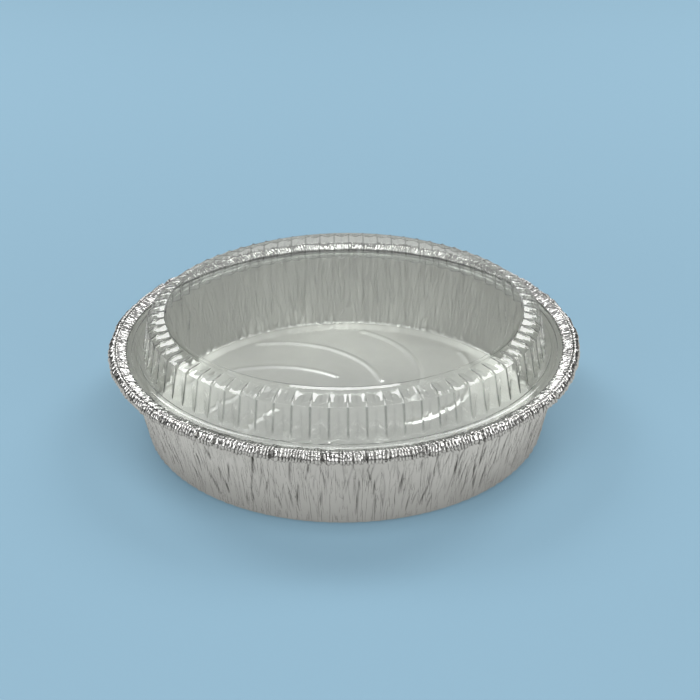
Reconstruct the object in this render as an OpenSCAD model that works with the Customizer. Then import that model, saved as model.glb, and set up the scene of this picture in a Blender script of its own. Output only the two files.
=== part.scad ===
// Round foil food pan with its clear domed lid crimped under the rim
// Millimetres, +Z up, origin at the middle of the base where the pan stands

/* [Pan] */
// Radius of the flat floor, where the bottom corner begins
floor_r = 96.5; // [85:0.5:110]
// Radius of the rounded corner between floor and wall, on its outer side
corner_r = 3; // [2:0.25:5]
// How far the wall leans outward between the corner and the mouth
wall_lean = 7.2; // [5:0.2:10]
// Depth from the base to the underside of the shelf
pan_depth = 42; // [30:1:60]
// Thickness of the drawn foil
foil_t = 0.25; // [0.2:0.01:0.3]
// Depth of the pleats pressed into the wall, to each side
pleat_depth = 0.55; // [0.2:0.05:0.8]

/* [Rim] */
// Width of the shelf from the mouth to the outside of the rim
shelf_w = 8.2; // [7:0.2:11]
// Height of the rim above the underside of the shelf
rim_h = 3.7; // [3.4:0.1:5]
// Width of the rolled shoulder at the top of the rim
roll_w = 1.8; // [1.2:0.1:2.4]
// Height of the folded lip's free edge above the underside of the shelf
lip_rise = 1.75; // [1.65:0.05:2.2]
// Width of the folded lip from its roll to its free edge
lip_w = 6.4; // [4:0.2:7]
// Depth of the crimps in the rim
crimp_depth = 0.35; // [0.1:0.05:0.5]
// Number of folds drawn around the wall and the rim, every second one outward
pleats = 200; // [150:2:210]
// Start of the uneven pattern of the pleats and crimps
pattern_seed = 11; // [1:1:99]

/* [Floor ribs] */
// Number of swirled ribs pressed up in the floor
ribs = 9; // [4:1:12]
// Distance of the ribs' inner ends from the middle of the pan
rib_in_r = 36; // [30:1:44]
// Distance of their outer ends from the edge of the floor
rib_margin = 8; // [6:0.5:14]
// Turn around the pan from a rib's outer end to its inner end
rib_twist = 65; // [40:1:80]
// Radius of the arc that a rib follows
rib_arc_r = 58; // [54:1:80]
// Turn of the whole swirl
rib_turn = 3; // [0:1:39]
// Height of a rib above the floor
rib_h = 0.7; // [0.4:0.05:1]
// Radius of the round back of a rib
rib_back_r = 2.6; // [2:0.1:4]

/* [Lid] */
// Thickness of the lid's clear sheet
lid_t = 0.35; // [0.3:0.01:0.4]
// Height of the lid's top panel above its flange
dome_h = 19.4; // [14:0.2:26]
// Radius of the rounded edge of the panel
panel_edge_r = 0.9; // [0.6:0.1:1.2]
// Height of the step from the panel down to the flutes
step_h = 2.8; // [2.2:0.1:3.4]
// Number of flutes around the lid
flutes = 75; // [48:1:90]
// Depth of a flute between its ridges at the shoulder
flute_top = 1.5; // [0.6:0.1:2]
// Depth of a flute between its ridges at the foot of the wall
flute_foot = 2.2; // [0.8:0.1:3]
// Share of a flute's pitch that its rounded ridge takes
ridge_share = 0.16; // [0.1:0.02:0.3]
// Turn of the flutes around the lid
flute_turn = 1.9; // [0:0.1:5]
// Width of the gently sloping shoulder outside the panel
shoulder_w = 5.3; // [4:0.1:6]
// Fall of the shoulder over its width
shoulder_fall = 1.1; // [0.6:0.1:1.8]
// Width of the steeper chamfer outside the shoulder
chamfer_w = 2.4; // [1.4:0.1:3]
// Fall of the chamfer over its width
chamfer_fall = 1.2; // [0.8:0.1:2]
// How far the fluted wall spreads from the chamfer to its foot
wall_spread = 1.7; // [1:0.1:4]
// Distance of the ridges' foot inside the pan's mouth
foot_inset = 7.9; // [7.5:0.1:12]
// Radius of the raised bead on the flange
bead_r = 2.2; // [1.8:0.1:3]
// Height of the bead above the flange
bead_h = 0.8; // [0.5:0.05:1]
// Distance of the bead inside the pan's mouth
bead_inset = 4; // [3.5:0.1:4.5]
// Space between the lid's flange and the shelf below it
seat_gap = 0.2; // [0.15:0.01:0.25]
// Space between the lid's edge and the inside of the rim
edge_gap = 2.4; // [2:0.1:3]

/* [Hidden] */
$fn = 96;

// Sheets of the pan and the lid that stand in a thicker one are let in by this much on each side
let_in = 0.05;
floor_t = foil_t + 2 * let_in;
// Height of the upright collar over the bottom corner; the pleated wall stands in its upper half
collar_h = 0.8;
wall_foot_z = corner_r + collar_h / 2;
lean_z = corner_r + 1.5 * collar_h;
collar_r = floor_r + corner_r;
mouth_r = collar_r + wall_lean;
rim_r = mouth_r + shelf_w;
shelf_z = pan_depth;
wall_h = shelf_z - lean_z;

// Heights on the wall where its pleats are set, as shares of the wall
low_row = 0.34;
high_row = 0.7;
low_noise = rands(0.25, 1, pleats, pattern_seed);
high_noise = rands(0.2, 1, pleats, pattern_seed + 1);
crimp_noise = rands(-1, 1, pleats, pattern_seed + 2);
lip_noise = rands(-1, 1, pleats, pattern_seed + 3);
// Dents that the crimping tool leaves at wider steps around the rim
dents = 17;

// Ends of the rib that has its outer end on +X, and the centre of the arc through them
rib_out = [floor_r - rib_margin, 0];
rib_in = rib_in_r * [cos(rib_twist), -sin(rib_twist)];
rib_chord = rib_out - rib_in;
rib_centre = (rib_out + rib_in) / 2
    + [-rib_chord[1], rib_chord[0]] * sqrt(pow(rib_arc_r / norm(rib_chord), 2) - 0.25);
rib_start = atan2(rib_in[1] - rib_centre[1], rib_in[0] - rib_centre[0]);
rib_sweep = 2 * asin(norm(rib_chord) / 2 / rib_arc_r);

// The lid from its flange up, and from the pan's mouth inward
flange_z = shelf_z + foil_t + seat_gap;
flange_r = rim_r - edge_gap;
panel_z = flange_z + lid_t + dome_h;
flute_z = panel_z - step_h;
chamfer_z = flute_z - shoulder_fall;
wall_top_z = chamfer_z - chamfer_fall;
foot_r = mouth_r - foot_inset - flute_foot;
wall_top_r = foot_r - wall_spread;
chamfer_r = wall_top_r - chamfer_w;
step_r = chamfer_r - shoulder_w;
bead_mid_r = mouth_r - bead_inset;
// The flat flange starts just outside the ridges' foot, and the fluted ring runs on into it
flange_in_r = foot_r + flute_foot + lid_t;

// Offset of point i of a path to its left, by t square to the path, with mitred corners
function along(p, i) = let (a = p[max(i - 1, 0)], b = p[min(i + 1, len(p) - 1)], m = p[i],
    u = (i == 0) ? (b - m) / norm(b - m) : (m - a) / norm(m - a),
    v = (i == len(p) - 1) ? (m - a) / norm(m - a) : (b - m) / norm(b - m)) [u, v];
function shifted(p, t) = [for (i = [0:len(p) - 1])
    let (d = along(p, i), s = d[0] + d[1], n = [-s[1], s[0]] / norm(s),
         c = max(n * [-d[0][1], d[0][0]], 0.5))
    p[i] + n * t / c];
function backwards(p) = [for (i = [len(p) - 1:-1:0]) p[i]];

// A sheet closed round the axis: paths[i] holds the [radius, height] points of its outer face at
// angles[i], and t is its thickness inward. Both faces are split along the same diagonals, picked
// by lean(i, j), so that they never meet.
module ring_sheet(paths, angles, t, lean) {
    n = len(paths);
    half = len(paths[0]);
    m = 2 * half;
    points = [for (i = [0:n - 1]) for (q = concat(paths[i], backwards(shifted(paths[i], t))))
        [q[0] * cos(angles[i]), q[0] * sin(angles[i]), q[1]]];
    function at(i, j) = (i % n) * m + j % m;
    function leans(i, j) = j < half ? lean(i, j) : 1 - lean(i, m - 2 - j);
    faces = [for (i = [0:n - 1]) for (j = [0:m - 1]) each leans(i, j) == 0
        ? [[at(i, j), at(i, j + 1), at(i + 1, j)], [at(i, j + 1), at(i + 1, j + 1), at(i + 1, j)]]
        : [[at(i, j), at(i, j + 1), at(i + 1, j + 1)], [at(i, j), at(i + 1, j + 1), at(i + 1, j)]]];
    polyhedron(points = points, faces = faces, convexity = 10);
}

// Half section of a round tray t thick, r wide and h high, with a corner of outer radius c
module tray_section(r, c, h, t) {
    difference() {
        tray_block(r, c, h);
        translate([0, t]) tray_block(r - t, c - t, h);
    }
}
module tray_block(r, c, h) {
    square([r - c, h]);
    translate([0, c]) square([r, h - c]);
    translate([r - c, c]) intersection() {
        circle(c);
        translate([0, -c]) square(c);
    }
}

// Outside of the pan at fold i: up the wall, out under the shelf, round the roll and in over the lip
function pan_outside(i) = let (
    way = (i % 2 == 0) ? 1 : -1,
    turn = 360 * i / pleats,
    low = way * pleat_depth * low_noise[i],
    high = way * pleat_depth * high_noise[i],
    dent = 0.5 * (1 - cos(dents * turn + 90 * sin(3 * turn))),
    crimp = crimp_depth * (0.6 * way + 0.4 * crimp_noise[i]),
    foot = collar_r - let_in,
    mouth = mouth_r + foil_t,
    lip = rim_r - roll_w)
    [[foot, wall_foot_z],
     [foot, lean_z],
     [foot + (mouth - foot) * low_row + low, lean_z + low_row * wall_h],
     [foot + (mouth - foot) * high_row + high, lean_z + high_row * wall_h],
     [mouth, shelf_z],
     [rim_r - 0.3 * roll_w + 0.4 * crimp, shelf_z],
     [rim_r - crimp_depth + crimp, shelf_z + rim_h * (0.38 - 0.12 * dent)],
     [rim_r - crimp_depth - 0.25 * roll_w + crimp, shelf_z + rim_h * (0.8 - 0.15 * dent)],
     [lip + 0.5 * crimp, shelf_z + rim_h * (1 - 0.08 * dent) + 0.3 * crimp],
     [lip - lip_w + crimp_depth * lip_noise[i],
      shelf_z + lip_rise + 0.25 * crimp_depth * (1 + lip_noise[i])]];

module pleated_wall() {
    ring_sheet([for (i = [0:pleats - 1]) pan_outside(i)],
        [for (i = [0:pleats - 1]) 360 * i / pleats], foil_t, function (i, j) (i + j) % 2);
}

// A rib's round back, or the hollow under it where back is smaller, kept above height low
module rib_solid(back, low) {
    middle = floor_t + rib_h - rib_back_r;
    translate(rib_centre) {
        rotate(rib_start) rotate_extrude(angle = rib_sweep)
            translate([rib_arc_r, 0]) intersection() {
                translate([0, middle]) circle(back);
                translate([-back, low]) square([2 * back, 2 * rib_back_r]);
            }
        for (end = [0, rib_sweep]) rotate(rib_start + end) translate([rib_arc_r, 0, 0])
            intersection() {
                translate([0, 0, middle]) sphere(back);
                translate([-back, -back, low]) cube([2 * back, 2 * back, 2 * rib_back_r]);
            }
    }
}

module ribbed_floor() {
    difference() {
        union() {
            rotate_extrude() tray_section(collar_r, corner_r, corner_r + collar_h, floor_t);
            for (k = [0:ribs - 1]) rotate(rib_turn + k * 360 / ribs) rib_solid(rib_back_r, 0);
        }
        for (k = [0:ribs - 1]) rotate(rib_turn + k * 360 / ribs)
            rib_solid(rib_back_r - floor_t, -let_in);
    }
}

module foil_pan() {
    color([0.78, 0.78, 0.8]) {
        ribbed_floor();
        pleated_wall();
    }
}

// Outer face of the fluted ring, from the flange up, on a ridge (rise 1) or in a flute (rise 0)
function lid_outside(rise) = let (up = rise * flute_top, out = rise * flute_foot)
    [[flange_in_r + 2 * lid_t, flange_z + lid_t - let_in],
     [foot_r + out, flange_z + lid_t - let_in],
     [(foot_r + out + wall_top_r + 0.3 * up) / 2, (flange_z + lid_t - let_in + wall_top_z + 0.35 * up) / 2],
     [wall_top_r + 0.3 * up, wall_top_z + 0.35 * up],
     [chamfer_r + 0.2 * up, chamfer_z + 0.75 * up],
     [step_r - lid_t / 2, flute_z + up]];

module fluted_ring() {
    pitch = 360 / flutes;
    stations = [for (k = [0:flutes - 1]) each [[(k - ridge_share / 2) * pitch, 1],
        [(k + ridge_share / 2) * pitch, 1], [(k + 0.5) * pitch, 0]]];
    ring_sheet([for (s = stations) lid_outside(s[1])], [for (s = stations) flute_turn + s[0]],
        lid_t - 2 * let_in, function (i, j) i % 3 == 1 ? 1 : 0);
}

// Flat panel with a rounded edge and the upright step that the flutes run into
module panel_section() {
    translate([0, panel_z]) mirror([0, 1])
        tray_section(step_r, panel_edge_r, step_h + lid_t + let_in, lid_t);
}

// Flat flange with its raised bead
module flange_section() {
    middle = flange_z + lid_t + bead_h - bead_r;
    difference() {
        union() {
            translate([flange_in_r, flange_z]) square([flange_r - flange_in_r, lid_t]);
            intersection() {
                translate([bead_mid_r, middle]) circle(bead_r);
                translate([bead_mid_r - bead_r, flange_z]) square(2 * bead_r);
            }
        }
        translate([bead_mid_r, middle]) circle(bead_r - lid_t);
    }
}

module dome_lid() {
    color([0.86, 0.9, 0.93, 0.4]) {
        rotate_extrude() panel_section();
        rotate_extrude() flange_section();
        fluted_ring();
    }
}

foil_pan();
dome_lid();
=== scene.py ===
import bpy
import numpy as np
from mathutils import Matrix, Vector


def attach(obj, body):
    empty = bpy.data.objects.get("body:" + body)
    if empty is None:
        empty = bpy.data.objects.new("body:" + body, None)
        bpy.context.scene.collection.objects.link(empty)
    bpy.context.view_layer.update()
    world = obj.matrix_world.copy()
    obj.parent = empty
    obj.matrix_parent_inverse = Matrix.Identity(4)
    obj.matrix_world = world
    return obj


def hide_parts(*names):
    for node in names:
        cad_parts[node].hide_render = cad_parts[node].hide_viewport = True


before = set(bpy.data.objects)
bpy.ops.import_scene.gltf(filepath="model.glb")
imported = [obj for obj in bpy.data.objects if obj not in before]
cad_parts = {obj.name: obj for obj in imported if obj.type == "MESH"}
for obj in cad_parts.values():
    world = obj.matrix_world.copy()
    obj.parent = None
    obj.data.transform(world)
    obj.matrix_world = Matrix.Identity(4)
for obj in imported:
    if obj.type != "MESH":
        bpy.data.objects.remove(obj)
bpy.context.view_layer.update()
print("frame loaded:", ", ".join(sorted(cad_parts)))

mm = 0.001  # shapes are worked out in millimetres, and the scene is in metres


# sRGB hex text to the linear RGBA that shader sockets take
def toLinear(hexText):
    srgb = [int(hexText[k:k + 2], 16) / 255 for k in (1, 3, 5)]
    return tuple(c / 12.92 if c <= 0.04045 else ((c + 0.055) / 1.055) ** 2.4 for c in srgb) + (1.0,)


# Adds one node: its settings first, then the values and the (node, output) links of its inputs,
# each input by its name or its number
def addNode(tree, kind, links=None, values=None, **settings):
    node = tree.nodes.new(kind)
    for name, value in settings.items():
        setattr(node, name, value)
    for name, value in (values or {}).items():
        node.inputs[name].default_value = value
    for name, (source, output) in (links or {}).items():
        tree.links.new(source.outputs[output], node.inputs[name])
    return node


# An empty node tree of a material or a world
def newTree(owner):
    owner.use_nodes = True
    owner.node_tree.nodes.clear()
    return owner.node_tree


def addObject(name, data):
    made = bpy.data.objects.new(name, data)
    bpy.context.scene.collection.objects.link(made)
    return made


# Rises evenly from 0 to 1 while distance goes from 0 to width
def ramp(distance, width):
    return np.clip(distance / width, 0, 1)


# The same angle between -pi and pi
def wrapped(angle):
    return (angle + np.pi) % (2 * np.pi) - np.pi


def ringAngles(columns):
    return np.linspace(0, 2 * np.pi, columns, endpoint=False)


# Length walked along a path, from its first point to each point
def walkedLengths(path):
    return np.concatenate([[0], np.cumsum(np.linalg.norm(np.diff(path, axis=0), axis=1))])


# Faces of a grid: quads that close round the columns, and with poles a fan of triangles at each end
def gridFaces(rows, cols, loopRows, withPoles):
    column = np.arange(cols)
    after = (column + 1) % cols
    lower = np.arange(rows if loopRows else rows - 1)[:, None]
    upper = (lower + 1) % rows
    quads = np.stack([lower * cols + column, lower * cols + after,
                      upper * cols + after, upper * cols + column], -1).reshape(-1, 4)
    if not withPoles:
        return quads, np.zeros((0, 3), int)
    first, last, lastRow = rows * cols, rows * cols + 1, (rows - 1) * cols
    fans = np.vstack([np.stack([np.full(cols, first), after, column], -1),
                      np.stack([np.full(cols, last), lastRow + column, lastRow + after], -1)])
    return quads, fans


# UV map in real metres: u is the angle times the sheet's largest radius, v is the length walked
# along the profile at column 0. In a face that crosses the seam, u runs on past the full turn.
def addSheetUv(mesh, grid, quadCount):
    rows, cols = grid.shape[:2]
    walked = walkedLengths(grid[:, 0]) * mm
    radius = np.linalg.norm(grid[..., :2], axis=-1).max() * mm
    used = np.empty(len(mesh.loops), int)
    mesh.loops.foreach_get("vertex_index", used)
    inGrid = used < rows * cols
    u = np.where(inGrid, used % cols, 0) / cols * 2 * np.pi * radius
    v = np.where(inGrid, walked[np.minimum(used // cols, rows - 1)], 0)
    block = u[:quadCount * 4].reshape(-1, 4)
    crossing = block.max(1) - block.min(1) > np.pi * radius
    block = np.where(crossing[:, None] & (block < np.pi * radius), block + 2 * np.pi * radius, block)
    u[:quadCount * 4] = block.ravel()
    layer = mesh.uv_layers.new(name="sheetMetres")
    layer.data.foreach_set("uv", np.stack([u, v], -1).ravel())


# Puts a grid of points (rows along the profile, columns round the axis, in mm) into a mesh. The
# columns always close on themselves. loopRows joins the last row to the first, so the sheet is a
# closed skin; otherwise a pole point closes each end. Faces are turned outwards by the sign of the
# volume that they enclose: six volumes are the sum of (p0 x p1) . p2 over the triangles. Bends past
# sharpAngle degrees stay sharp. Each further named value (rows x columns, 0 to 1) is kept on the
# points for the materials.
def gridMesh(name, grid, loopRows=False, poles=(), sharpAngle=None, **values):
    rows, cols = grid.shape[:2]
    quads, fans = gridFaces(rows, cols, loopRows, len(poles) > 0)
    points = grid.reshape(-1, 3) * mm
    if len(poles) > 0:
        points = np.vstack([points, np.array(poles) * mm])
    p0, p1, p2, p3 = (points[quads[:, k]] for k in range(4))
    volume = (np.cross(p0, p1) * p2).sum() + (np.cross(p0, p2) * p3).sum()
    if volume < 0:
        quads, fans = quads[:, ::-1], fans[:, ::-1]
    loops = np.concatenate([quads.ravel(), fans.ravel()])
    sizes = np.concatenate([np.full(len(quads), 4), np.full(len(fans), 3)])
    mesh = bpy.data.meshes.new(name)
    mesh.vertices.add(len(points))
    mesh.vertices.foreach_set("co", points.ravel())
    mesh.loops.add(len(loops))
    mesh.loops.foreach_set("vertex_index", loops)
    mesh.polygons.add(len(sizes))
    mesh.polygons.foreach_set("loop_start", np.concatenate([[0], np.cumsum(sizes)[:-1]]))
    mesh.polygons.foreach_set("use_smooth", np.ones(len(sizes), bool))
    mesh.update(calc_edges=True)
    mesh.validate()
    addSheetUv(mesh, grid, len(quads))
    for label, value in values.items():
        attribute = mesh.attributes.new(label, "FLOAT", "POINT")
        padded = np.append(value.ravel(), [0, 0])[:len(points)]  # the poles get 0
        attribute.data.foreach_set("value", np.clip(padded, 0, 1).astype(np.float32))
    if sharpAngle is not None:
        mesh.set_sharp_from_angle(angle=np.radians(sharpAngle))
    return addObject(name, mesh)


# Uneven wave round the ring: the sum of cosines whose counts per turn lie between fewest and most,
# each with a seeded phase and weight, scaled to reach about 1
def ringWave(angles, fewest, most, seed):
    terms = 14
    rng = np.random.default_rng(seed)
    counts = rng.integers(fewest, most + 1, terms)
    phases = rng.uniform(0, 2 * np.pi, terms)
    weights = rng.uniform(0.4, 1, terms)
    waves = weights[:, None] * np.cos(counts[:, None] * angles + phases[:, None])
    return waves.sum(0) / (weights.sum() ** 0.5 * 1.2)


# Patchy value between 0 and 1 on rows x columns: a random lattice, closed round the ring, with each
# cell's corners mixed by f * f * (3 - 2f) of the place in the cell
def patches(rows, cols, cellsUp, cellsRound, seed):
    rng = np.random.default_rng(seed)
    lattice = rng.uniform(0, 1, (cellsUp + 1, cellsRound))
    y = np.linspace(0, cellsUp, rows)
    x = np.arange(cols) / cols * cellsRound
    yi, xi = np.minimum(y.astype(int), cellsUp - 1), x.astype(int)
    fy, fx = y - yi, x - xi
    fy, fx = (fy * fy * (3 - 2 * fy))[:, None], fx * fx * (3 - 2 * fx)
    a, b = lattice[yi][:, xi], lattice[yi][:, (xi + 1) % cellsRound]
    c, d = lattice[yi + 1][:, xi], lattice[yi + 1][:, (xi + 1) % cellsRound]
    return (a * (1 - fx) + b * fx) * (1 - fy) + (c * (1 - fx) + d * fx) * fy


# Points along a path of [radius, height] corners. Each inner corner is rounded by the curve
# start (1 - t)^2 + 2 corner t (1 - t) + end t^2, which starts reach before it and ends reach after
# it. bendPoints and straightPoints say how many points each curve and each straight take.
def roundedPath(corners, reaches, bendPoints, straightPoints):
    out = [corners[0][None]]
    for k in range(1, len(corners) - 1):
        here, before, beyond = corners[k], corners[k - 1], corners[k + 1]
        back = (before - here) / np.linalg.norm(before - here, axis=-1, keepdims=True)
        ahead = (beyond - here) / np.linalg.norm(beyond - here, axis=-1, keepdims=True)
        start, end = here + back * reaches[k - 1], here + ahead * reaches[k - 1]
        t = np.linspace(0, 1, straightPoints[k - 1] + 1)[1:-1, None, None]
        out.append(out[-1][-1] * (1 - t) + start * t)
        t = np.linspace(0, 1, bendPoints[k - 1])[:, None, None]
        out.append(start * (1 - t) ** 2 + 2 * here * t * (1 - t) + end * t ** 2)
    t = np.linspace(0, 1, straightPoints[-1] + 1)[1:, None, None]
    out.append(out[-1][-1] * (1 - t) + corners[-1] * t)
    return np.concatenate([part for part in out if len(part)])


# A smooth path through [radius, height] points: between b and c, with a before and d after them, it
# is the cubic in t that leaves b along c - a and reaches c along d - b. Stretch k has steps[k] points.
def smoothPath(points, steps):
    points = np.array(points, float)
    ends = np.vstack([2 * points[0] - points[1], points, 2 * points[-1] - points[-2]])
    out = []
    for k, count in enumerate(steps):
        a, b, c, d = ends[k:k + 4]
        t = np.linspace(0, 1, count + 1)[(0 if k == 0 else 1):, None]
        square, cube = 2 * a - 5 * b + 4 * c - d, 3 * b - a - 3 * c + d
        out.append(0.5 * (2 * b + (c - a) * t + square * t ** 2 + cube * t ** 3))
    return np.concatenate(out)


# Left-hand unit normals of a path of [radius, height] points
def pathNormals(path):
    step = np.gradient(path, axis=0)
    step /= np.linalg.norm(step, axis=-1, keepdims=True)
    return np.stack([-step[..., 1], step[..., 0]], -1)


# Turns [radius, height] points (rows x columns x 2) about the axis to each column's angle
def turned(sections, angles):
    radius, height = sections[..., 0], sections[..., 1]
    return np.stack([radius * np.cos(angles), radius * np.sin(angles), height], -1)


def place(piece, node, material):
    piece.data.materials.append(material)
    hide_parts(node)
    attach(piece, "root")
    print("built", piece.name, len(piece.data.polygons), "faces")


# Pan sizes in mm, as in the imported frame
pan = {
    "floorRadius": 96.5, "cornerRadius": 2.9, "mouthRadius": 106.7, "shelfHeight": 42.0,
    "rimRadius": 114.9, "foil": 0.2,
}

# Bright rolled aluminium foil, drawn cold in a press: a metal with a satin sheen on the side that
# faces out and a matt one inside, with shade painted into its creases and hollows. Thin creases
# run up the sheet and fork: they are the places where a stretched noise passes its middle value.
# Clouds make some places a little duller than others. The rolling grain is drawn coarser than the
# real one, so that it shows, and a cell of its noise is two grains wide.
foilLook = {
    "colour": "#f1f1ef", "darker": "#e2e2df", "inside": "#d3d4cf", "creaseShadeColour": "#34322f",
    "mattInside": 0.2, "shadeInside": 0.15, "creaseMm": 2.5, "creaseLengthMm": 24.0,
    "creaseEdge": 0.04, "cloudMm": 100 / 9, "grainMm": 0.35, "grainDepthMm": 0.004,
}
# How the press left each part of it: satin where it was drawn, bright where it was rolled and
# crimped, matt where it was pressed flat. spread is how far the clouds change the roughness.
foilFinishes = {
    "drawnFoilSatin": {"roughness": 0.18, "spread": 0.04, "creaseDepthMm": 0.19},
    "crimpedFoilBright": {"roughness": 0.11, "spread": 0.03, "creaseDepthMm": 0.05},
    "pressedFoilFloor": {"roughness": 0.34, "spread": 0.04, "creaseDepthMm": 0.004},
}


def foilMaterial(name):
    finish = foilFinishes[name]
    material = bpy.data.materials.new(name)
    tree = newTree(material)
    coords = addNode(tree, "ShaderNodeUVMap", uv_map="sheetMetres")
    squeeze = foilLook["creaseMm"] / foilLook["creaseLengthMm"]
    stretched = addNode(tree, "ShaderNodeMapping", {"Vector": (coords, "UV")}, {"Scale": (1, squeeze, 1)})
    wander = addNode(tree, "ShaderNodeTexNoise", {"Vector": (stretched, "Vector")},
                     {"Scale": 1 / (foilLook["creaseMm"] * mm), "Detail": 2.0, "Roughness": 0.55,
                      "Distortion": 0.4})
    centred = addNode(tree, "ShaderNodeMath", {0: (wander, "Fac")}, {1: 0.5}, operation="SUBTRACT")
    away = addNode(tree, "ShaderNodeMath", {0: (centred, "Value")}, operation="ABSOLUTE")
    crease = addNode(tree, "ShaderNodeMapRange", {"Value": (away, "Value")},
                     {"From Min": 0.0, "From Max": foilLook["creaseEdge"]}, interpolation_type="SMOOTHSTEP")
    solid = addNode(tree, "ShaderNodeTexCoord")
    grain = addNode(tree, "ShaderNodeTexNoise", {"Vector": (solid, "Object")},
                    {"Scale": 1 / (2 * foilLook["grainMm"] * mm), "Detail": 2.0})
    clouds = addNode(tree, "ShaderNodeTexNoise", {"Vector": (solid, "Object")},
                     {"Scale": 1 / (foilLook["cloudMm"] * mm), "Detail": 3.0})
    creased = addNode(tree, "ShaderNodeBump", {"Height": (crease, "Result")},
                      {"Strength": 1.0, "Distance": finish["creaseDepthMm"] * mm})
    grained = addNode(tree, "ShaderNodeBump", {"Height": (grain, "Fac"), "Normal": (creased, "Normal")},
                      {"Strength": 1.0, "Distance": foilLook["grainDepthMm"] * mm})
    cloudy = addNode(tree, "ShaderNodeMix", {"Factor": (clouds, "Fac")},
                     {"A": toLinear(foilLook["colour"]), "B": toLinear(foilLook["darker"])},
                     data_type="RGBA")
    matt = addNode(tree, "ShaderNodeAttribute", attribute_name="mattSide")
    sided = addNode(tree, "ShaderNodeMix", {"Factor": (matt, "Fac"), "A": (cloudy, "Result")},
                    {"B": toLinear(foilLook["inside"])}, data_type="RGBA")
    # painted shade: the colour darkens towards the dark crease colour in creases, slots, under the bead and
    # low on the wall
    depth = addNode(tree, "ShaderNodeAttribute", attribute_name="foldDepth")
    shaded = addNode(tree, "ShaderNodeMix", {"Factor": (depth, "Fac"), "A": (sided, "Result")},
                     {"B": toLinear(foilLook["creaseShadeColour"])}, data_type="RGBA")
    rough = addNode(tree, "ShaderNodeMapRange", {"Value": (clouds, "Fac")},
                    {"From Min": 0.3, "From Max": 0.7, "To Min": finish["roughness"] - finish["spread"],
                     "To Max": finish["roughness"] + finish["spread"]})
    rougher = addNode(tree, "ShaderNodeMath", {0: (matt, "Fac"), 2: (rough, "Result")},
                      {1: foilLook["mattInside"]}, operation="MULTIPLY_ADD")
    shader = addNode(tree, "ShaderNodeBsdfPrincipled",
                     {"Base Color": (shaded, "Result"), "Roughness": (rougher, "Value"),
                      "Normal": (grained, "Normal")},
                     {"Metallic": 1.0})
    addNode(tree, "ShaderNodeOutputMaterial", {"Surface": (shader, "BSDF")})
    return material


# A foil sheet: the path's outer face is pushed along its normals by push (rows x columns), the
# other face is one foil's thickness away, and the two are joined at both ends as one closed skin.
# fold says how much painted shade each point gets, and slide moves points in radius and height.
def foilSheet(name, path, push, angles, fold, slide=0.0):
    normals = pathNormals(path)[:, None]
    outer = path[:, None] + normals * push[..., None]
    inner = outer + normals * pan["foil"]
    outer, inner = outer + slide, inner + slide
    # the inner face gets a share of the same painted shade
    shadeOnBothFaces = np.concatenate([fold, foilLook["shadeInside"] * fold[::-1]])
    matt = np.concatenate([np.zeros_like(fold), np.ones_like(fold)])
    return gridMesh(name, turned(np.concatenate([outer, inner[::-1]]), angles), loopRows=True,
                    foldDepth=shadeOnBothFaces, mattSide=matt)


# Wall of the pan: round corner, then a nearly straight wall leaning out to the mouth. It is pushed
# in and out by slow waves, by scallops where it turns into the floor and by several hundred short
# creases. Lengths are in mm, radius turns an angle into mm along the wall, and a wave is the fewest
# and the most counts of its ringWave and its seed.
wall = {
    "columns": 1500, "cornerRows": 9, "rows": 24, "radius": 103.0, "seed": 5,
    "creases": 700, "creaseLength": (7, 26), "lowest": 3.0, "highest": 41.0, "lean": 0.3,
    "leanSwing": 0.2, "bend": 0.012, "depth": 0.5, "deepest": 0.8, "highestRidge": 0.6, "width": 0.42,
    "ridgeAside": 1.8, "reach": 0.16,
    "waves": 0.16, "slowWave": (24, 60, 3), "quickWave": (60, 130, 4),
    "scallops": 0.4, "scallopWave": (70, 150, 6), "scallopHeight": 2.5, "scallopFade": 2.2,
    "shade": 0.24, "shadeHeight": 24.0,
}


# Creases: across each one -exp(-x^2) + exp(-(x - ridgeAside)^2) / 2, a groove with a raised side, and
# along it sin(pi share)^0.7, which fades it at both ends. Its line up the wall leans and bends.
def wallCreases(angles, heights):
    rng = np.random.default_rng(wall["seed"])
    field = np.zeros((len(heights), len(angles)))
    for k in range(wall["creases"]):
        where = 2 * np.pi * (k + rng.uniform(-0.8, 0.8)) / wall["creases"]
        length = rng.uniform(*wall["creaseLength"])
        low = rng.uniform(wall["lowest"], wall["highest"] - length * 0.8)
        lean = rng.choice([-1, 1]) * rng.uniform(0.0, wall["lean"]) + wall["leanSwing"] * np.cos(where)
        bend = rng.uniform(-wall["bend"], wall["bend"])
        depth = wall["depth"] * rng.uniform(0.2, 1) ** 1.5
        width = wall["width"] * rng.uniform(0.8, 1.5)
        ridgeAt = rng.choice([-1, 1]) * wall["ridgeAside"]
        share = (heights - low) / length
        fade = np.where((share > 0) & (share < 1), np.sin(np.pi * np.clip(share, 0, 1)) ** 0.7, 0)
        offset = wrapped(angles - where)
        above = heights - low - length / 2
        near = np.abs(offset) < wall["reach"]
        across = (offset[near] * wall["radius"] - (lean * above + bend * above ** 2)[:, None]) / width
        groove = 0.5 * np.exp(-(across - ridgeAt) ** 2) - np.exp(-across ** 2)
        field[:, near] += depth * fade[:, None] * groove
    return field


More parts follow.
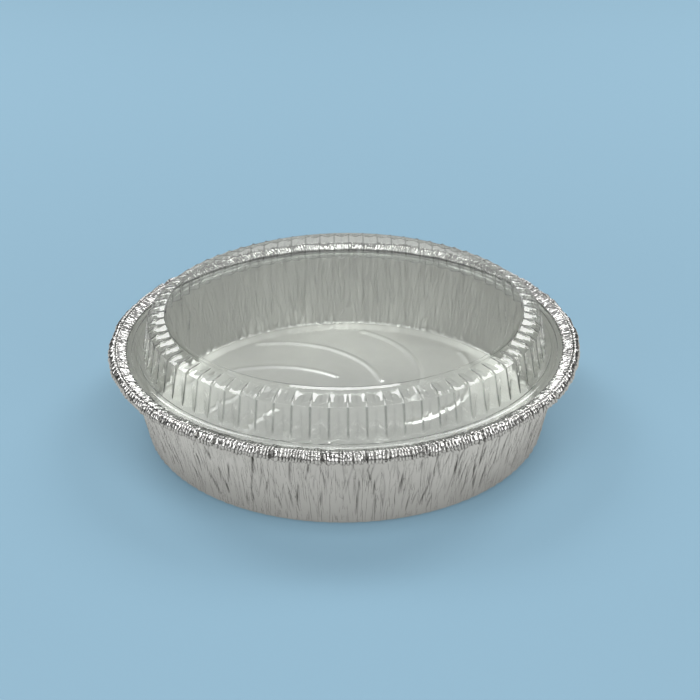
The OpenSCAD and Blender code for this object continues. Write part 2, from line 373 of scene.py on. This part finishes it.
def buildWall():
    angles = ringAngles(wall["columns"])
    arc = np.radians(np.linspace(-90, 0, wall["cornerRows"]))[:, None]
    centre = np.array([[pan["floorRadius"], pan["cornerRadius"]]])
    corner = centre + pan["cornerRadius"] * np.concatenate([np.cos(arc), np.sin(arc)], 1)
    climb = np.linspace(0, 1, wall["rows"])[1:, None]
    mouth = np.array([[pan["mouthRadius"] + pan["foil"], pan["shelfHeight"]]])
    path = np.concatenate([corner, corner[-1:] * (1 - climb) + mouth * climb])
    heights = path[:, 1]
    field = wallCreases(angles, heights)
    rise = ramp(heights, pan["shelfHeight"])[:, None]
    waves = ringWave(angles, *wall["slowWave"]) * rise + ringWave(angles, *wall["quickWave"]) * 0.7 * rise
    atFoot = np.exp(-((heights - wall["scallopHeight"]) / wall["scallopFade"]) ** 2) * ramp(heights, 1.5)
    scallops = wall["scallops"] * ringWave(angles, *wall["scallopWave"]) * atFoot[:, None]
    # waves and creases end at the floor and at the shelf
    settle = ramp(heights - 1, 5)[:, None] * ramp(pan["shelfHeight"] - heights, 1.5)[:, None]
    creases = np.clip(field, -wall["deepest"], wall["highestRidge"])
    push = -(creases + wall["waves"] * waves) * settle - scallops
    # painted shade in grooves deeper than 0.07 mm, and painted shade growing towards the bottom, where the
    # wall reflects the shadowed floor beside it
    fold = np.clip(-field / 0.55 - 0.12, 0, 1) * settle
    darker = wall["shade"] * (1 - ramp(heights, wall["shadeHeight"]))[:, None]
    return foilSheet("foilWall", path, push, angles, np.clip(fold + darker, 0, 1))


# Shelf: the flat ring from the mouth out to under the bead, faintly puckered by a wave that fades
# at both edges as the sine of the way across
shelf = {"columns": 1000, "rings": 12, "shortOfRim": 0.9, "pucker": 0.08, "puckerWave": (60, 240, 15)}


def buildShelf():
    angles = ringAngles(shelf["columns"])
    inner, outer = pan["mouthRadius"] + pan["foil"], pan["rimRadius"] - shelf["shortOfRim"]
    radii = np.linspace(inner, outer, shelf["rings"])
    path = np.stack([radii, np.full(shelf["rings"], pan["shelfHeight"])], 1)
    fade = np.sin(np.linspace(0, np.pi, shelf["rings"]))[:, None]
    push = shelf["pucker"] * fade * ringWave(angles, *shelf["puckerWave"])
    return foilSheet("foilShelf", path, push, angles, np.zeros_like(push))


# Rim: the rolled bead and the folded lip. Its path climbs round the bead's flattened outside and runs
# in over the lid's edge; its points are given from the pan's outermost edge at the shelf's height,
# and steps says how many points each stretch takes. Amounts that follow it are in mm, widths along
# it in shares of its length.
rim = {
    "columns": 2900, "seed": 8, "steps": (2, 2, 3, 3, 2, 2, 2, 1, 4, 5),
    "beadPath": ((-2.2, -0.1), (-1.2, -0.9), (-0.3, -0.5), (0.0, 0.6), (-0.5, 1.9), (-1.4, 3.0),
                 (-2.5, 3.6), (-3.2, 3.1)),
    "lipPath": ((-3.7, 3.4), (-5.8, 2.8), (-8.2, 1.8)),
    "crimps": 464, "beadFold": 0.5, "lipFold": 0.4, "tilt": 1.1, "crumple": 0.3, "wander": 2.6,
    "wanderWave": (5, 40, 21), "jitter": 1.5, "jitterWave": (40, 90, 22), "shear": 7.0,
    "shearWave": (8, 50, 23),
    "pinches": 31, "pinchDepth": 0.9, "pinchSlant": 5.0, "stretches": 0.4,
    "slots": 300, "slotDepth": 0.7, "slotWidth": 0.034, "slotWave": (4, 17, 27),
    "tuck": 0.75, "tuckAt": 0.24, "tuckWidth": 0.1, "teeth": 5.0, "teethFrom": 0.85,
    "sway": 0.22, "swayWave": (6, 30, 28),
    "shade": 0.14, "shadeUnder": 0.85,
}


# One pleat wave: 2 |sin(phase / 2)| less its mean of about 1.27, a round crest and a sharp valley
def pleat(phase):
    return 2 * np.abs(np.sin(phase / 2)) - 1.27


# Pinches are deep narrow folds at uneven steps: exp(-x^2) across, with a shallow bank of half its
# height 1.6 mm to each side. The stretch from one pinch to the next keeps one level.
def rimPinches(angles, share):
    count = rim["pinches"]
    rng = np.random.default_rng(rim["seed"])
    spots = np.sort(2 * np.pi * (np.arange(count) + rng.uniform(-0.4, 0.4, count)) / count)
    levels = rng.uniform(-1, 1, count)
    sharpness = rng.uniform(0.5, 1.0, count)[:, None, None]
    stretch = levels[np.searchsorted(spots, angles) % count]
    gap = wrapped(angles[None] - spots[:, None])
    slant = (share - 0.4)[None] * rim["pinchSlant"] * levels[:, None, None]
    slanted = gap[:, None] * pan["rimRadius"] - slant
    banks = np.exp(-((np.abs(slanted) - 1.6) / 0.8) ** 2)
    pinch = (np.exp(-(slanted / sharpness) ** 2) - 0.5 * banks).sum(0)
    return pinch, stretch


def buildRim():
    angles = ringAngles(rim["columns"])
    path = smoothPath([(pan["rimRadius"] + out, pan["shelfHeight"] + up)
                       for out, up in rim["beadPath"] + rim["lipPath"]], rim["steps"])
    groove = sum(rim["steps"][:len(rim["beadPath"]) - 1])
    walked = walkedLengths(path)
    share = (walked / walked[-1])[:, None]
    grooveAt = share[groove, 0]
    # folds fade in at the bead's root, change over in the groove and go on to the lip's edge
    onBead = ramp(share, 0.1) * ramp(grooveAt + 0.02 - share, 0.06)
    onLip = ramp(share - grooveAt, 0.08)
    # each pleat is folded to its own depth, leans to its own side and is a little crumpled
    rows, cols = len(path), rim["columns"]
    wander = rim["wander"] * ringWave(angles, *rim["wanderWave"])
    wander = wander + rim["jitter"] * ringWave(angles, *rim["jitterWave"])
    shear = rim["shear"] * ringWave(angles, *rim["shearWave"])
    phase = rim["crimps"] * angles + wander
    strength = 0.25 + 0.75 * patches(rows, cols, 2, rim["crimps"], 24)
    pleats = pleat(phase + shear * (share - 0.3))
    lipPleats = pleat(phase + 0.5 * shear * share + 0.8)
    tilt = rim["tilt"] * (patches(rows, cols, 3, rim["crimps"], 29) - 0.5)
    crumple = rim["crumple"] * (patches(rows, cols, 9, 700, 25) - 0.5)
    field = onBead * (rim["beadFold"] * pleats * strength + tilt + crumple)
    field = field + onLip * (rim["lipFold"] * lipPleats * strength + 0.5 * tilt + crumple)
    # pinches cut in, and the bead's height steps from one stretch to the next
    pinch, stretch = rimPinches(angles, share)
    bow = np.sin(np.pi * ramp(share, grooveAt))
    field = field - rim["pinchDepth"] * pinch * (0.25 + 0.75 * bow) * (0.5 + 0.5 * onBead)
    field = field + rim["stretches"] * stretch * bow
    # short slots lie in the groove between bead and lip, in some places deeper than in others
    dash = np.clip(0.3 + 1.4 * np.sin(rim["slots"] * angles + wander), 0, 1)
    dash = dash * np.clip(0.55 + 1.6 * ringWave(angles, *rim["slotWave"]), 0.1, 1)
    slots = np.exp(-((share - grooveAt) / rim["slotWidth"]) ** 2) * dash
    field = field - rim["slotDepth"] * slots
    # painted shade in slots, pinches and valleys and under the bead; the whole rim is a little darker too
    valleys = np.clip(-0.1 - np.where(share < grooveAt, pleats, lipPleats), 0, 0.9) * strength
    fold = 1.5 * slots + 0.6 * np.clip(pinch - 0.3, 0, 1) + 1.2 * valleys
    fold = np.clip(fold + rim["shadeUnder"] * (1 - ramp(share, 0.24)) + rim["shade"], 0, 1)
    # the rim sways up and down, the bead's flank steps with the stretches, and the lip's edge is toothed
    slide = np.zeros((rows, cols, 2))
    slide[..., 1] = rim["sway"] * ringWave(angles, *rim["swayWave"]) * ramp(share, 0.3)
    slide[..., 1] += rim["tuck"] * stretch * np.exp(-((share - rim["tuckAt"]) / rim["tuckWidth"]) ** 2)
    slide[..., 0] = np.clip(share - rim["teethFrom"], 0, 1) * rim["teeth"] * lipPleats * strength
    parts = {"foilBead": slice(0, groove + 1), "foilLip": slice(groove, None)}
    return [foilSheet(name, path[part], -field[part], angles, fold[part], slide[part])
            for name, part in parts.items()]


# Floor: flat disc with nine ribs pressed up. Each rib follows an arc that spirals in, given by the
# arc's radius, its centre's distance and direction from the axis, and the angles at which it starts
# and ends. Very faint puckers fill the rest, and the edge rises towards the wall's corner.
panFloor = {
    "columns": 480, "rings": 98, "firstRing": 0.8, "overlap": 0.4, "raised": 0.05,
    "ribs": 9, "arcRadius": 58.0, "centreDistance": 41.2, "centreAngle": 155.6, "ribFrom": 13.0,
    "ribTo": 100.5, "ribHeight": 0.75, "ribHalfWidth": 2.3,
    "pucker": 0.1, "edgeRise": 1.0, "edgeWidth": 5.0, "edgeSway": 0.7, "edgeWave": (12, 70, 33),
    "sinkFrom": 94.0, "sinkWidth": 2.9, "sinkTop": 0.03, "sinkUnder": 0.05,
}


# Height of the ribs: ribHeight (1 + cos(pi d / ribHalfWidth)) / 2, with d the distance to the nearest
# rib's arc, which past the arc's ends counts the way beyond them too
def ribHeights(x, y):
    radius, first, last = (panFloor[name] for name in ("arcRadius", "ribFrom", "ribTo"))
    height = np.zeros_like(x)
    for k in range(panFloor["ribs"]):
        turn = np.radians(360 / panFloor["ribs"] * k)
        toward = np.radians(panFloor["centreAngle"]) + turn
        cx, cy = panFloor["centreDistance"] * np.cos(toward), panFloor["centreDistance"] * np.sin(toward)
        across = np.abs(np.hypot(x - cx, y - cy) - radius)
        middle = np.radians((first + last) / 2) + turn
        around = np.abs(wrapped(np.arctan2(y - cy, x - cx) - middle))
        past = (around - np.radians((last - first) / 2)) * radius
        away = ramp(np.hypot(across, np.clip(past, 0, None)), panFloor["ribHalfWidth"])
        height = np.maximum(height, panFloor["ribHeight"] * 0.5 * (1 + np.cos(np.pi * away)))
    return height


def buildFloor():
    angles = ringAngles(panFloor["columns"])
    radii = np.linspace(panFloor["firstRing"], pan["floorRadius"] + panFloor["overlap"], panFloor["rings"])
    x, y = radii[:, None] * np.cos(angles), radii[:, None] * np.sin(angles)
    pucker = panFloor["pucker"] * (patches(len(radii), len(angles), 9, 40, 31) - 0.5)
    pucker = pucker * ramp(radii, 20)[:, None] * ramp(pan["floorRadius"] - radii, 6)[:, None]
    # the outermost few millimetres rise a little towards the corner, along an uneven line
    sway = panFloor["edgeSway"] * ringWave(angles, *panFloor["edgeWave"])
    inward = pan["floorRadius"] - panFloor["edgeWidth"] + sway
    climb = ramp(radii[:, None] - inward, panFloor["edgeWidth"])
    lift = ribHeights(x, y) + pucker + panFloor["raised"] + panFloor["edgeRise"] * climb
    sink = ramp(radii - panFloor["sinkFrom"], panFloor["sinkWidth"])[:, None]
    top = np.stack([x, y, lift + pan["foil"] - panFloor["sinkTop"] * sink], -1)
    under = np.stack([x, y, lift - panFloor["sinkUnder"] * sink], -1)
    poles = [(0, 0, panFloor["raised"] + pan["foil"]), (0, 0, panFloor["raised"])]
    return gridMesh("foilFloor", np.concatenate([top, under[::-1]]), poles=poles)


drawnFoil, crimpedFoil, pressedFoil = (foilMaterial(name) for name in foilFinishes)
place(buildWall(), "foil_pan", drawnFoil)
place(buildShelf(), "foil_pan", drawnFoil)
for sheet in buildRim():
    place(sheet, "foil_pan", crimpedFoil)
place(buildFloor(), "foil_pan", pressedFoil)

# Lid: one clear sheet. Round each flute the height share falls in a straight slope from a rounded
# ridge to a sharp crease in the flute's middle: rise = 1 - (sqrt((2u)^2 + w^2) - w) / (sqrt(1 + w^2) - w).
# The path from the panel out to the flange's edge depends on rise, and its corners are rounded. The
# chamfer lies on a plain cone: the creases only cut a notch into its upper edge, and the ridges
# stand out of it as narrow arrises, a little steeper than the cone. The panel's edge is a small flat
# bevel. Sizes are in mm, shares of a flute are of its pitch, and asideOfRidge are the columns at
# each side of a ridge, closest together near it.
lid = {
    "flutes": 75, "turn": 0.66, "asideOfRidge": (0.035, 0.09, 0.16, 0.26, 0.38), "ridgeRounding": 0.1,
    "sheet": 0.25, "sharpAngle": 22, "flatWeight": 90,
    "panelRadius": 87.2, "panelHeight": 62.2, "firstRing": 1.0, "panelRing": 5.0,
    "bevelWidth": 1.15, "bevelFall": 0.9, "stepLean": 0.05,
    "fluteHeight": 59.4, "fluteTop": 1.0, "fluteFoot": 2.2,
    "coneRadius": 92.8, "coneHeight": 59.0, "chamfer": 2.6, "chamferFall": 1.4, "notch": 1.5,
    "arris": 0.26, "arrisShare": 0.16, "steeper": 0.3, "steeperShare": 0.09, "steeperFade": 0.055,
    "wallSpread": 1.2, "flange": 42.45, "flangeRadius": 112.4, "flangeRings": 5,
    "beadRadius": 102.7, "beadHalf": 1.7, "beadHeight": 0.8, "beadRings": 9,
    "reaches": (0.3, 0.14, 0.12, 0.15, 0.12, 0.2, 0.25),
    "bendPoints": (2, 4, 4, 3, 3, 3, 4), "straightPoints": (3, 1, 1, 1, 3, 2, 5, 2),
}

# Clear PET sheet, thermoformed: glassy and smooth, with slight waviness left by the forming, and
# with painted shade along the lines where it is bent sharply
lidLook = {
    "colour": "#f4f6f4", "paintedBendShade": "#9aa09c", "inShadows": "#f7f8f8", "ior": 1.57,
    "roughness": 0.02, "wavinessMm": 14.0, "wavinessDepthMm": 0.012,
    "ridgeLine": 0.6, "creaseLine": 0.12, "shoulderLine": 0.15,
}


def buildLid():
    rounding = lid["ridgeRounding"]
    aside = np.array(lid["asideOfRidge"])
    u = np.concatenate([[-0.5], -aside[::-1], [0], aside])  # columns over one flute, from crease to crease
    rise = 1 - (np.sqrt(4 * u ** 2 + rounding ** 2) - rounding) / (np.sqrt(1 + rounding ** 2) - rounding)
    arris = lid["arris"] * np.cos(np.pi / 2 * ramp(np.abs(u), lid["arrisShare"])) ** 2
    steeper = lid["steeper"] * ramp(lid["steeperShare"] - np.abs(u), lid["steeperFade"])
    rise, arris, steeper = (np.tile(shape, lid["flutes"]) for shape in (rise, arris, steeper))
    pitch = 2 * np.pi / lid["flutes"]
    ridges = np.arange(lid["flutes"])[:, None] * pitch - np.pi / 2 + np.radians(lid["turn"])
    angles = (ridges + u * pitch).ravel()
    ones = np.ones_like(rise)
    top = lid["panelHeight"]
    flangeTop = lid["flange"] + lid["sheet"]
    notch = lid["notch"] * (1 - rise)
    notchFall = notch * lid["chamferFall"] / lid["chamfer"]
    wallTopR, wallTopZ = lid["coneRadius"] + lid["chamfer"], lid["coneHeight"] - lid["chamferFall"]
    footR = wallTopR + lid["wallSpread"]
    corners = [np.stack([radius * ones, height * ones], -1) for radius, height in (
        (lid["firstRing"], top),
        (lid["panelRadius"] - lid["panelRing"], top),
        (lid["panelRadius"] - lid["bevelWidth"], top),
        (lid["panelRadius"] - lid["stepLean"], top - lid["bevelFall"]),
        (lid["panelRadius"], lid["fluteHeight"] + rise * lid["fluteTop"]),
        (lid["coneRadius"] + notch + 0.5 * arris, lid["coneHeight"] - notchFall + arris + steeper),
        (wallTopR + arris, wallTopZ + arris - steeper),
        (footR + rise * lid["fluteFoot"], flangeTop),
        (lid["beadRadius"] - lid["beadHalf"], flangeTop))]
    path = roundedPath(corners, lid["reaches"], lid["bendPoints"], lid["straightPoints"])
    # the bead's section is a half wave, sin(pi t)^1.3 high, and the flange runs on flat to its edge
    t = np.linspace(0, 1, lid["beadRings"])[1:, None]
    beadR = lid["beadRadius"] - lid["beadHalf"] * np.cos(np.pi * t)
    beadZ = flangeTop + lid["beadHeight"] * np.sin(np.pi * t) ** 1.3
    beadEnd = lid["beadRadius"] + lid["beadHalf"]
    edgeR = np.linspace(beadEnd, lid["flangeRadius"], lid["flangeRings"])[1:, None]
    bead = np.stack([beadR * ones, beadZ * ones], -1)
    edge = np.stack([edgeR * ones, np.full_like(edgeR, flangeTop) * ones], -1)
    path = np.concatenate([path, bead, edge])
    outer = turned(path, angles)
    # the other face lies one sheet's thickness behind, along the surface's own normals
    along = np.gradient(outer, axis=0)
    across = np.roll(outer, -1, 1) - np.roll(outer, 1, 1)
    normal = np.cross(across, along)
    normal /= np.linalg.norm(normal, axis=-1, keepdims=True)
    normal *= np.sign(normal[0, 0, 2])
    inner = outer - normal * lid["sheet"]
    # painted shade lines along the sharp bends: strongest on the wall's ridges, weaker in its creases and the
    # shoulder's
    radius, height = path[..., 0], path[..., 1]
    onRidge, onCrease = rise > 0.97, rise < 0.06
    onWall = (height < wallTopZ - 0.2) * (height > flangeTop + 1.0)
    onShoulder = (radius > lid["panelRadius"] + 0.3) * (radius < lid["coneRadius"] - 0.3)
    line = onWall * (lidLook["ridgeLine"] * onRidge + lidLook["creaseLine"] * onCrease)
    line = line + onShoulder * lidLook["shoulderLine"] * onCrease
    piece = gridMesh("clearLid", np.concatenate([outer, inner[::-1]]),
                     poles=[(0, 0, top), (0, 0, top - lid["sheet"])], sharpAngle=lid["sharpAngle"],
                     sharpBend=np.concatenate([line, line[::-1]]))
    flat = piece.modifiers.new("flatFacets", "WEIGHTED_NORMAL")  # the wide facets stay flat up to their bends
    flat.weight, flat.keep_sharp = lid["flatWeight"], True
    return piece


def clearMaterial():
    material = bpy.data.materials.new("clearThermoformedPet")
    tree = newTree(material)
    coords = addNode(tree, "ShaderNodeTexCoord")
    waves = addNode(tree, "ShaderNodeTexNoise", {"Vector": (coords, "Object")},
                    {"Scale": 1 / (lidLook["wavinessMm"] * mm), "Detail": 2.0})
    wavy = addNode(tree, "ShaderNodeBump", {"Height": (waves, "Fac")},
                   {"Strength": 1.0, "Distance": lidLook["wavinessDepthMm"] * mm})
    bend = addNode(tree, "ShaderNodeAttribute", attribute_name="sharpBend")
    # painted shade: the sheet's colour greys along the bend lines
    bendShaded = addNode(tree, "ShaderNodeMix", {"Factor": (bend, "Fac")},
                   {"A": toLinear(lidLook["colour"]), "B": toLinear(lidLook["paintedBendShade"])}, data_type="RGBA")
    shader = addNode(tree, "ShaderNodeBsdfPrincipled",
                     {"Base Color": (bendShaded, "Result"), "Normal": (wavy, "Normal")},
                     {"Roughness": lidLook["roughness"], "IOR": lidLook["ior"], "Transmission Weight": 1.0})
    # shadow rays pass straight through, so that light reaches the foil under the lid
    clear = addNode(tree, "ShaderNodeBsdfTransparent", values={"Color": toLinear(lidLook["inShadows"])})
    path = addNode(tree, "ShaderNodeLightPath")
    both = addNode(tree, "ShaderNodeMixShader",
                   {0: (path, "Is Shadow Ray"), 1: (shader, "BSDF"), 2: (clear, "BSDF")})
    addNode(tree, "ShaderNodeOutputMaterial", {"Surface": (both, "Shader")})
    return material


place(buildLid(), "dome_lid", clearMaterial())

# Stage: a plain pale blue paper floor, in metres. Metal and plastic see it as a neutral table, as in
# the studio that the photograph was taken in. It is lit less far from the lamps, so its colour gains
# farGain from nearEdge out to farEdge. glow is the share of its brightness that is its own, for the
# eye, metal and plastic, which softens the shadow.
stage = {
    "size": 8.0, "blue": "#8fb3c8", "neutral": "#c9cac8", "roughness": 0.9, "farGain": 1.17,
    "nearEdge": 0.25, "farEdge": 1.1, "glow": 0.3,
}


def paperMaterial():
    material = bpy.data.materials.new("matBluePaper")
    tree = newTree(material)
    path = addNode(tree, "ShaderNodeLightPath")
    coords = addNode(tree, "ShaderNodeTexCoord")
    away = addNode(tree, "ShaderNodeVectorMath", {0: (coords, "Object")}, operation="LENGTH")
    gain = addNode(tree, "ShaderNodeMapRange", {"Value": (away, "Value")},
                   {"From Min": stage["nearEdge"], "From Max": stage["farEdge"], "To Min": 1.0,
                    "To Max": stage["farGain"]})
    lit = addNode(tree, "ShaderNodeVectorMath", {0: (gain, "Result")}, {1: toLinear(stage["blue"])[:3]},
                  operation="MULTIPLY")
    colour = addNode(tree, "ShaderNodeMix", {"Factor": (path, "Is Camera Ray"), "B": (lit, "Vector")},
                     {"A": toLinear(stage["neutral"])}, data_type="RGBA")
    shader = addNode(tree, "ShaderNodeBsdfPrincipled", {"Base Color": (colour, "Result")},
                     {"Roughness": stage["roughness"]})
    own = addNode(tree, "ShaderNodeEmission", {"Color": (colour, "Result")}, {"Strength": 1.0})
    mirrored = addNode(tree, "ShaderNodeMath", {0: (path, "Is Camera Ray"), 1: (path, "Is Glossy Ray")},
                       operation="ADD")
    seen = addNode(tree, "ShaderNodeMath", {0: (mirrored, "Value"), 1: (path, "Is Transmission Ray")},
                   operation="ADD", use_clamp=True)
    amount = addNode(tree, "ShaderNodeMath", {0: (seen, "Value")}, {1: stage["glow"]}, operation="MULTIPLY")
    both = addNode(tree, "ShaderNodeMixShader",
                   {0: (amount, "Value"), 1: (shader, "BSDF"), 2: (own, "Emission")})
    addNode(tree, "ShaderNodeOutputMaterial", {"Surface": (both, "Shader")})
    return material


def buildStage():
    half = stage["size"] / 2
    mesh = bpy.data.meshes.new("studioFloor")
    corners = [(-half, -half, 0), (half, -half, 0), (half, half, 0), (-half, half, 0)]
    mesh.from_pydata(corners, [], [(0, 1, 2, 3)])
    mesh.materials.append(paperMaterial())
    addObject("studioFloor", mesh)


buildStage()
print("stage ready")

# Two long softboxes hang level, high at the back on both sides, with their long sides running
# towards the object, and a third hangs level over the camera: turn is about the vertical. Two square
# cards stand low in front, left and right of the camera, and face the object, so they have no turn.
# Places and sizes are in metres.
lamps = {
    "softboxLeft": {"at": (-0.761, 0.672, 1.1), "turn": 140, "size": (0.97, 0.57), "radiance": 5.0},
    "softboxRight": {"at": (0.761, 0.672, 1.1), "turn": 40, "size": (0.97, 0.57), "radiance": 5.0},
    "softboxFront": {"at": (0.0, -0.45, 1.15), "turn": 0, "size": (0.9, 0.36), "radiance": 4.8},
    "cardLeft": {"at": (-0.6, -0.8, 0.5), "turn": None, "size": (0.5, 0.5), "radiance": 2.8},
    "cardRight": {"at": (0.6, -0.8, 0.5), "turn": None, "size": (0.5, 0.5), "radiance": 2.8},
}


# The power that gives a flat lamp its radiance is radiance x pi x width x height
def addLamp(name, at, turn, size, radiance):
    light = bpy.data.lights.new(name, "AREA")
    light.shape = "RECTANGLE"
    light.size, light.size_y = size
    light.energy = radiance * np.pi * size[0] * size[1]
    if turn is None:
        facing = Vector(at).to_track_quat("Z", "Y").to_matrix().to_4x4()
    else:
        facing = Matrix.Rotation(np.radians(turn), 4, "Z")
    addObject(name, light).matrix_world = Matrix.Translation(at) @ facing


for name, lamp in lamps.items():
    addLamp(name, **lamp)


# Soft room light: palest overhead and behind the object, dark near the horizon in front and at the
# sides, where it keeps the share given as sides
room = {
    "colour": "#ffffff", "front": 0.2, "back": 0.36, "backRise": (-0.2, 0.8), "overhead": 0.4,
    "overheadRise": (0.35, 0.95), "sides": 0.3, "sidesFall": (0.25, 0.85),
}


# A smooth step along one part of the direction: the first level before the span, the second past it
def roomStep(tree, part, span, first, second):
    return addNode(tree, "ShaderNodeMapRange", {"Value": part},
                   {"From Min": span[0], "From Max": span[1], "To Min": first, "To Max": second},
                   interpolation_type="SMOOTHSTEP")


def buildWorld():
    world = bpy.data.worlds.new("softRoom")
    bpy.context.scene.world = world
    tree = newTree(world)
    coords = addNode(tree, "ShaderNodeTexCoord")
    split = addNode(tree, "ShaderNodeSeparateXYZ", {"Vector": (coords, "Generated")})
    around = roomStep(tree, (split, "Y"), room["backRise"], room["front"], room["back"])
    height = roomStep(tree, (split, "Z"), room["overheadRise"], 0.0, 1.0)
    level = addNode(tree, "ShaderNodeMix", {"Factor": (height, "Result"), "A": (around, "Result")},
                    {"B": room["overhead"]}, data_type="FLOAT")
    aside = addNode(tree, "ShaderNodeMath", {0: (split, "X")}, operation="ABSOLUTE")
    dimmer = roomStep(tree, (aside, "Value"), room["sidesFall"], 1.0, room["sides"])
    shaped = addNode(tree, "ShaderNodeMath", {0: (level, "Result"), 1: (dimmer, "Result")},
                     operation="MULTIPLY")
    back = addNode(tree, "ShaderNodeBackground", {"Strength": (shaped, "Value")},
                   {"Color": toLinear(room["colour"])})
    addNode(tree, "ShaderNodeOutputWorld", {"Surface": (back, "Background")})


buildWorld()
print("lights ready")

# The photograph's viewpoint: in front and above, aimed just past the pan's axis at the rim's height.
# Angles are in degrees, distance and aimHeight in metres, lens and sensor in mm.
camera = {
    "distance": 0.61674, "elevation": 27.117, "pan": 0.2471, "tilt": -0.5901, "roll": -0.6519,
    "aimHeight": 0.042, "lens": 64.079, "sensor": 36.0,
}


# Two of the camera's axes turned in their own plane, the first towards the second
def turnedPair(first, second, angle):
    return (np.cos(angle) * first + np.sin(angle) * second,
            np.cos(angle) * second - np.sin(angle) * first)


def buildCamera():
    up, swing, tilt, roll = (np.radians(camera[k]) for k in ("elevation", "pan", "tilt", "roll"))
    aim = Vector((0, 0, camera["aimHeight"]))
    nearer, higher = camera["distance"] * np.cos(up), camera["distance"] * np.sin(up)
    spot = Vector((0, -nearer, higher + camera["aimHeight"]))
    forward = (aim - spot).normalized()
    right = Vector((1, 0, 0))
    above = right.cross(forward)
    right, forward = turnedPair(right, forward, -swing)
    above, forward = turnedPair(above, forward, -tilt)
    right, above = turnedPair(right, above, roll)
    lens = bpy.data.cameras.new("photoCamera")
    lens.lens, lens.sensor_width = camera["lens"], camera["sensor"]
    lens.clip_start, lens.clip_end = 0.01, 50
    eye = addObject("photoCamera", lens)
    eye.matrix_world = Matrix.Translation(spot) @ Matrix([right, above, -forward]).transposed().to_4x4()
    bpy.context.scene.camera = eye


buildCamera()
bpy.context.scene.view_settings.view_transform = "Standard"
bpy.context.view_layer.update()
print("camera ready")
